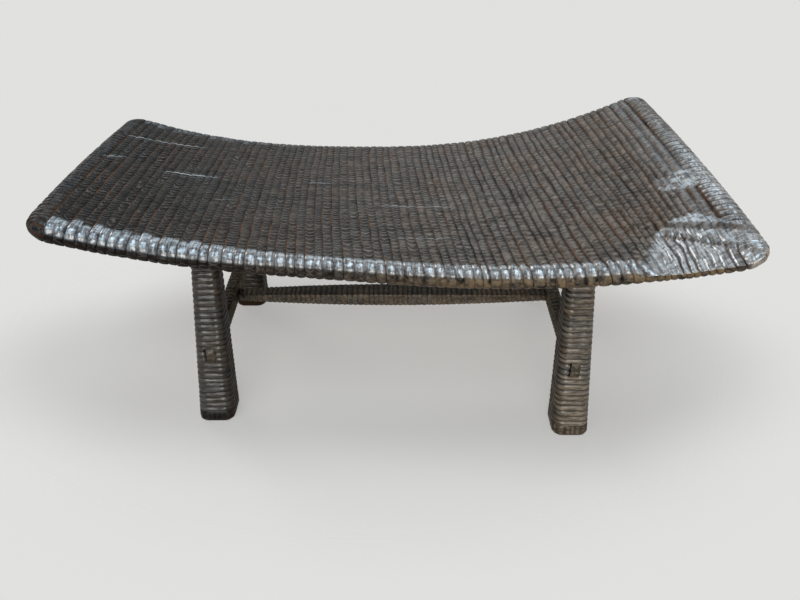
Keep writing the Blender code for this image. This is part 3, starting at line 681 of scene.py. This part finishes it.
def makeLeg(corner, seed):
    node = "leg_" + corner
    foot, head = feet[corner], headOf(node)
    shoulder = seatUnderside(head.x)
    top = shoulder + leg["intoSeat"]
    low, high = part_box("end_stretcher_" + corner.split("_")[1])
    mouthX, mouthZ = (low.x + high.x) / 2 + leg["mouth"][2], (low.z + high.z) / 2
    outside = -1 if corner.startswith("front") else 1
    ribs = round((shoulder - leg["footBand"]) / leg["pitch"])
    marks = spread(ribs, leg["footBand"], shoulder, leg["jitter"], seed)
    rings = [("round", k / 5) for k in range(5)] + [("band", k / 4) for k in range(5)]
    rings += [("rib", k + share) for k in range(ribs) for share in beadRings]
    rings += [("rib", float(ribs)), ("head", 1.0)]

    def place(share, ring):
        kind, value = ring
        inset, crest, tone, gloss, carve = 0.0, 0.8, 0.5, 0.25, 0.0
        around = Vector((math.cos(share * math.tau), math.sin(share * math.tau)))
        if kind == "round":
            turn = math.pi / 2 * value
            z, inset = leg["footRound"] * (1 - math.cos(turn)), leg["footRound"] * (1 - math.sin(turn))
        elif kind == "band":
            z = mix(leg["footRound"], leg["footBand"], value)
        elif kind == "head":
            z = top
        else:
            index = min(int(value), ribs - 1)
            z = mix(marks[index], marks[index + 1], value - index)
            crest = bead(value - index, leg["beadPower"])
            tone = math.sin((index + seed) * 78.233) * 0.5 + 0.5
            cut = clamp(0.85 + 0.5 * grainNoise(around.x * 1.5 + seed, around.y * 1.5, index * 2.3), 0.45, 1.0)
            carve = leg["cut"] * cut * (1 - crest)
            crest = 1 - cut * (1 - crest)
            gloss = 0.45
        if kind in ("round", "band"):
            cuts = abs(math.sin(share * leg["toolCuts"] * math.pi + 2 * grainNoise(share * 9, seed)))
            carve = leg["toolCut"] * (1 - cuts) * ease(z, 0.0, 0.006)
            crest, gloss = mix(0.26, 0.72, cuts), 0.12
        width = mix(leg["footWidth"], leg["topWidth"], z / shoulder) / 2 - inset
        centre = Vector((foot.x, foot.y)).lerp(Vector((head.x, head.y)), z / shoulder)
        point, out = roundedSection(share, width, width, leg["corner"] * width)
        if out.y * outside > 0.7:
            away = max(abs(centre.x + point.x - mouthX) / leg["mouth"][0], abs(z - mouthZ) / leg["mouth"][1])
            away += 0.15 * grainNoise(point.x * 160, z * 160, seed)
            mouth = 1 - ease(away, 0.85, 1.15)
            carve += leg["mouthCut"] * mouth
            crest, gloss = crest * (1 - mouth), gloss * (1 - mouth)
        point -= out * carve
        # painted shade: a darker crest colour on the inner faces and on the back posts, with less coat there
        shaded = max(-math.copysign(out.x, foot.x * out.x), 0) if kind == "rib" else 0
        crest *= (1 - 0.35 * shaded) * (1 if outside < 0 else 0.75)
        gloss *= (1 - 0.5 * shaded) * (1 if outside < 0 else 0.6)
        if kind == "rib":
            sway = grainNoise(around.x * 1.1, around.y * 1.1, z * 22 + seed) * ease(z, leg["footBand"], leg["footBand"] + 0.03)
            z += leg["wander"] * sway
        return Vector((centre.x + point.x, centre.y + point.y, z)), (crest, tone, gloss)

    bm = wrapGrid(leg["around"], rings, place, marksKept)
    return finishPiece("leg" + corner.title().replace("_", ""), bm, legTeak, [node])


def seatUnderside(x):  # height of the slab's underside straight above x
    along = x
    for k in range(12):
        slope = seatBend(along)[1]
        along = x - edgeRadius * slope / math.hypot(1, slope)
    return slabPoint(along, 0, -edgeRadius).z


for number, corner in enumerate(("front_left", "front_right", "back_left", "back_right")):
    makeLeg(corner, number * 17 + 3)


endBar = {
    "width": 0.028, "depth": 0.040, "corner": 0.006, "tenonWidth": 0.017, "tenonDepth": 0.032, "tenonCorner": 0.0008,
    "around": 40, "pitch": 0.0125, "jitter": 0.12, "cut": 0.0022, "beadPower": 2.1, "endRough": 0.0015,
}
longBar = {
    "endWidth": 0.030, "endDepth": 0.016, "middleWidth": 0.046, "middleDepth": 0.032,
    "endCorner": 0.0022, "middleCorner": 0.0034, "tenonWidth": 0.024, "tenonDepth": 0.011, "tenonCorner": 0.0008,
    "around": 40, "pitch": 0.0115, "jitter": 0.16, "cut": 0.0018, "beadPower": 2.0,
}


def legFace(corner, z, side):  # y of a post's front or back face at a height
    foot, head = feet[corner], headOf("leg_" + corner)
    share = z / seatUnderside(head.x)
    return mix(foot.y, head.y, share) + side * mix(leg["footWidth"], leg["topWidth"], share) / 2


def barRings(low, high, pitch, jitter, seed):  # tenon, shoulder, ribs, shoulder, tenon
    count = round((high - low) / pitch)
    marks = spread(count, low, high, jitter, seed)
    rings = [("tenon", 0.0), ("tenon", 0.5), ("shoulder", 0.0)]
    rings += [("rib", k + share) for k in range(count) for share in beadRings]
    rings += [("rib", float(count)), ("shoulder", 1.0), ("tenon", 0.5001), ("tenon", 1.0)]
    return rings, marks, count


def ribAlong(value, marks, count, look, seed, around):
    index = min(int(value), count - 1)
    place = mix(marks[index], marks[index + 1], value - index)
    crest = bead(value - index, look["beadPower"])
    cut = clamp(0.8 + 0.5 * grainNoise(around.x * 1.3 + seed, around.y * 1.3, index * 1.9), 0.4, 1.0)
    tone = math.sin((index + seed) * 78.233) * 0.5 + 0.5
    return place, look["cut"] * cut * (1 - crest), 1 - cut * (1 - crest), tone


def makeEndBar(end, seed):
    node = "end_stretcher_" + end
    low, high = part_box(node)
    x, z = (low.x + high.x) / 2, (low.z + high.z) / 2
    front, back = "front_" + end, "back_" + end
    start, stop = legFace(front, z, 1), legFace(back, z, -1)
    rings, marks, count = barRings(start, stop, endBar["pitch"], endBar["jitter"], seed)

    def place(share, ring):
        kind, value = ring
        around = Vector((math.cos(share * math.tau), math.sin(share * math.tau)))
        carve, crest, tone, gloss = 0.0, 0.34, 0.5, 0.1
        if kind == "rib":
            y, carve, crest, tone = ribAlong(value, marks, count, endBar, seed, around)
        if kind == "tenon":
            section = (endBar["tenonWidth"] / 2, endBar["tenonDepth"] / 2, endBar["tenonCorner"])
            if value in (0.0, 1.0):
                crest, gloss = (0.44 if end == "left" else 0.62), 0.3
        else:
            section = (endBar["width"] / 2, endBar["depth"] / 2, endBar["corner"])
        point, out = roundedSection(share, *section)
        point -= out * carve
        height = z + point.y
        if kind == "shoulder" or kind == "tenon" and 0.1 < value < 0.9:
            y = legFace(front, height, 1) if value < 0.5001 and value != 1.0 else legFace(back, height, -1)
        elif kind == "tenon":
            y = mix(low.y, legFace(front, height, -1) - 0.0004, 0.9) if value < 0.5 else mix(high.y, legFace(back, height, 1) + 0.0004, 0.9)
        return Vector((x + point.x, y, height)), (crest, tone, gloss)

    bm = wrapGrid(endBar["around"], rings, place, marksKept)
    ends = [face for face in bm.faces if len(face.verts) > 4]
    bmesh.ops.poke(bm, faces=ends, offset=endBar["endRough"])
    return finishPiece("endStretcher" + end.title(), bm, barTeak, [node])


def makeLongBar(seed):
    low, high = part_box("long_stretcher")
    y, z = (low.y + high.y) / 2, (low.z + high.z) / 2
    proud = (endBar["width"] + (high.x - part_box("end_stretcher_right")[1].x))
    start, stop = low.x + proud, high.x - proud
    rings, marks, count = barRings(start, stop, longBar["pitch"], longBar["jitter"], seed)

    def place(share, ring):
        kind, value = ring
        around = Vector((math.cos(share * math.tau), math.sin(share * math.tau)))
        carve, crest, tone, gloss = 0.0, 0.55, 0.5, 0.1
        if kind == "rib":
            x, carve, crest, tone = ribAlong(value, marks, count, longBar, seed, around)
        elif kind == "shoulder":
            x = mix(start, stop, value)
        else:
            x = mix(low.x, start, value * 2) if value <= 0.5 else mix(stop, high.x, value * 2 - 1)
        if kind == "tenon":
            section = (longBar["tenonWidth"] / 2, longBar["tenonDepth"] / 2, longBar["tenonCorner"])
        else:
            swell = math.sin(math.pi * clamp((x - start) / (stop - start)))
            section = (mix(longBar["endWidth"], longBar["middleWidth"], swell) / 2,
                       mix(longBar["endDepth"], longBar["middleDepth"], swell) / 2,
                       mix(longBar["endCorner"], longBar["middleCorner"], swell))
        point, out = roundedSection(share, *section)
        point -= out * carve
        gloss += 0.35 * max(-out.x, 0)
        # painted shade: a darker colour on the top face, which lies under the seat
        crest *= 1 - 0.55 * max(out.y, 0)
        return Vector((x, y + point.x, z + point.y)), (crest, tone, gloss)

    bm = wrapGrid(longBar["around"], rings, place, marksKept)
    return finishPiece("longStretcher", bm, barTeak, ["long_stretcher"])


makeEndBar("left", 41)
makeEndBar("right", 57)
makeLongBar(73)


# wedges keep their frame shapes and get split teak

wedgeFinish = {
    "name": "wedgeSplitTeak", "dark": (0.028, 0.020, 0.014, 1), "pale": (0.088, 0.056, 0.035, 1),
    "fibre": (220.0, 220.0, 60.0), "roughness": 0.55,
}


def splitTeak(look):
    material, start, coords = newFinish(look["name"])
    fibre = coords.stretch(look["fibre"]).grain(1.0, 4.0, 0.6)
    colour = fibre.rise(0.3, 0.75).blend(look["dark"], look["pale"])
    normal = start.make("ShaderNodeBump", {}, {"Strength": 0.5, "Distance": 0.0006, "Height": fibre})
    roughness = (fibre - 0.5) * 0.2 + look["roughness"]
    endFinish(start, {"Base Color": colour, "Roughness": roughness, "Normal": normal})
    return material


wedgeTeak = splitTeak(wedgeFinish)
for name, node in frame["nodes"].items():
    if "wedge" in name:
        node.data.materials.clear()
        node.data.materials.append(wedgeTeak)
print("wedges finished")


# studio: pale floor with a painted shadow under the bench that fades into the backdrop, cool light from the front and
# above, softer light from the left

studio = {
    "backdrop": (0.752, 0.752, 0.738), "ambient": (0.104, 0.108, 0.112),
    "floorSize": 6.0, "fadeCentre": (-0.03, 0.10, 0.0), "fadeReach": (1.20, 0.72, 1.0), "fade": (0.62, 1.0), "shadowFade": 0.5,
    # shadeCentre, shadeReach, shade and shadeCore: a painted shadow, the floor's colour darkened in a soft ellipse
    # round the bench
    "shadeCentre": (0.05, 0.03, 0.0), "shadeReach": (1.40, 0.42, 1.0), "shade": 0.45, "shadeCore": (0.25, 0.62, 0.45),
}
lamps = {  # degrees round from the front towards the right, degrees up, width in degrees
    "overhead": {"round": 0, "up": 88, "angle": 30, "power": 1.00, "colour": (0.62, 0.83, 1.0)},
    "dome": {"round": 0, "up": 85, "angle": 90, "power": 0.36, "colour": (1.0, 0.99, 0.97)},
    "frontHigh": {"round": -8, "up": 58, "angle": 34, "power": 0.68, "colour": (0.66, 0.86, 1.0)},
    "leftHigh": {"round": -50, "up": 62, "angle": 26, "power": 0.42, "colour": (0.66, 0.86, 1.0)},
    "frontLow": {"round": -3, "up": 19, "angle": 34, "power": 0.92, "colour": (1.0, 0.98, 0.92)},
    "backLeft": {"round": -137, "up": 26, "angle": 26, "power": 0.68, "colour": (0.95, 0.98, 1.0)},
    "back": {"round": 178, "up": 38, "angle": 40, "power": 0.55, "colour": (0.70, 0.88, 1.0)},
    "backRight": {"round": 146, "up": 14, "angle": 30, "power": 0.12, "colour": (0.74, 0.90, 1.0)},
}


def floorLight():  # what the open floor receives, as a share of full white
    light = list(studio["ambient"])
    for lamp in lamps.values():
        for k in range(3):
            light[k] += lamp["power"] * math.sin(math.radians(lamp["up"])) * lamp["colour"][k] / math.pi
    return light


def makeFloor():
    material, start, coords = newFinish("studioFloor")
    colour = [shade / light for shade, light in zip(studio["backdrop"], floorLight())]
    reach = studio["fadeReach"]
    centre = [-place / size for place, size in zip(studio["fadeCentre"], reach)]
    scaled = coords.stretch([1 / size for size in reach], centre)
    away = start.make("ShaderNodeVectorMath", {"operation": "LENGTH"}, {0: scaled}, 1)
    share = away.rise(*studio["fade"], studio["shadowFade"], 1.0)
    reach = studio["shadeReach"]
    centre = [-place / size for place, size in zip(studio["shadeCentre"], reach)]
    scaled = coords.stretch([1 / size for size in reach], centre)
    near = start.make("ShaderNodeVectorMath", {"operation": "LENGTH"}, {0: scaled}, 1)
    # painted shadow: darker towards the bench, lighter again in its core where the real shadow falls
    near = near.rise(0.45, 1.0, studio["shade"], 0.0) * near.rise(*studio["shadeCore"], 1.0)
    paintedShadowTint = near.blend((*colour, 1), (0.0, 0.0, 0.0, 1))
    solid = start.make("ShaderNodeBsdfDiffuse", {}, {"Color": paintedShadowTint})
    clear = start.make("ShaderNodeBsdfTransparent", {}, {})
    surface = start.make("ShaderNodeMixShader", {}, {0: share, 1: solid, 2: clear})
    start.make("ShaderNodeOutputMaterial", {}, {"Surface": surface})
    bm = bmesh.new()
    bmesh.ops.create_circle(bm, cap_ends=True, segments=96, radius=studio["floorSize"] / 2)
    mesh = bpy.data.meshes.new("studioFloor")
    bm.to_mesh(mesh)
    bm.free()
    mesh.materials.append(material)
    floor = bpy.data.objects.new("studioFloor", mesh)
    bpy.context.scene.collection.objects.link(floor)
    print("open floor light", [round(value, 3) for value in floorLight()])


def makeWorld():
    world = bpy.data.worlds.new("studio")
    bpy.context.scene.world = world
    world.use_nodes = True
    tree = world.node_tree
    tree.nodes.clear()
    start = Flow(tree)
    camera = start.make("ShaderNodeLightPath", output=0)
    glossy = start.make("ShaderNodeLightPath", output=3)
    through = start.make("ShaderNodeLightPath", output=6)
    seen = camera.most(glossy).most(through)
    colour = seen.blend((*studio["ambient"], 1), (*studio["backdrop"], 1))
    light = start.make("ShaderNodeBackground", {}, {"Color": colour, "Strength": 1.0})
    start.make("ShaderNodeOutputWorld", {}, {"Surface": light})


def makeLamp(name, look):
    lamp = bpy.data.lights.new(name, "SUN")
    lamp.energy = look["power"]
    lamp.angle = math.radians(look["angle"])
    lamp.color = look["colour"]
    place = bpy.data.objects.new(name, lamp)
    place.rotation_euler = (math.radians(90 - look["up"]), 0, math.radians(look["round"]))
    bpy.context.scene.collection.objects.link(place)


def makeCamera():
    lens = bpy.data.cameras.new("camera")
    lens.sensor_fit = "HORIZONTAL"
    lens.sensor_width = 36.0
    lens.lens = 30.6
    camera = bpy.data.objects.new("camera", lens)
    camera.location = (0.047, -1.218, 1.08)
    camera.rotation_euler = (math.radians(54.2), 0, 0)
    bpy.context.scene.collection.objects.link(camera)
    bpy.context.scene.camera = camera


makeFloor()
makeWorld()
for name, look in lamps.items():
    makeLamp(name, look)
makeCamera()
bpy.context.scene.view_settings.view_transform = "Standard"
print("studio set")
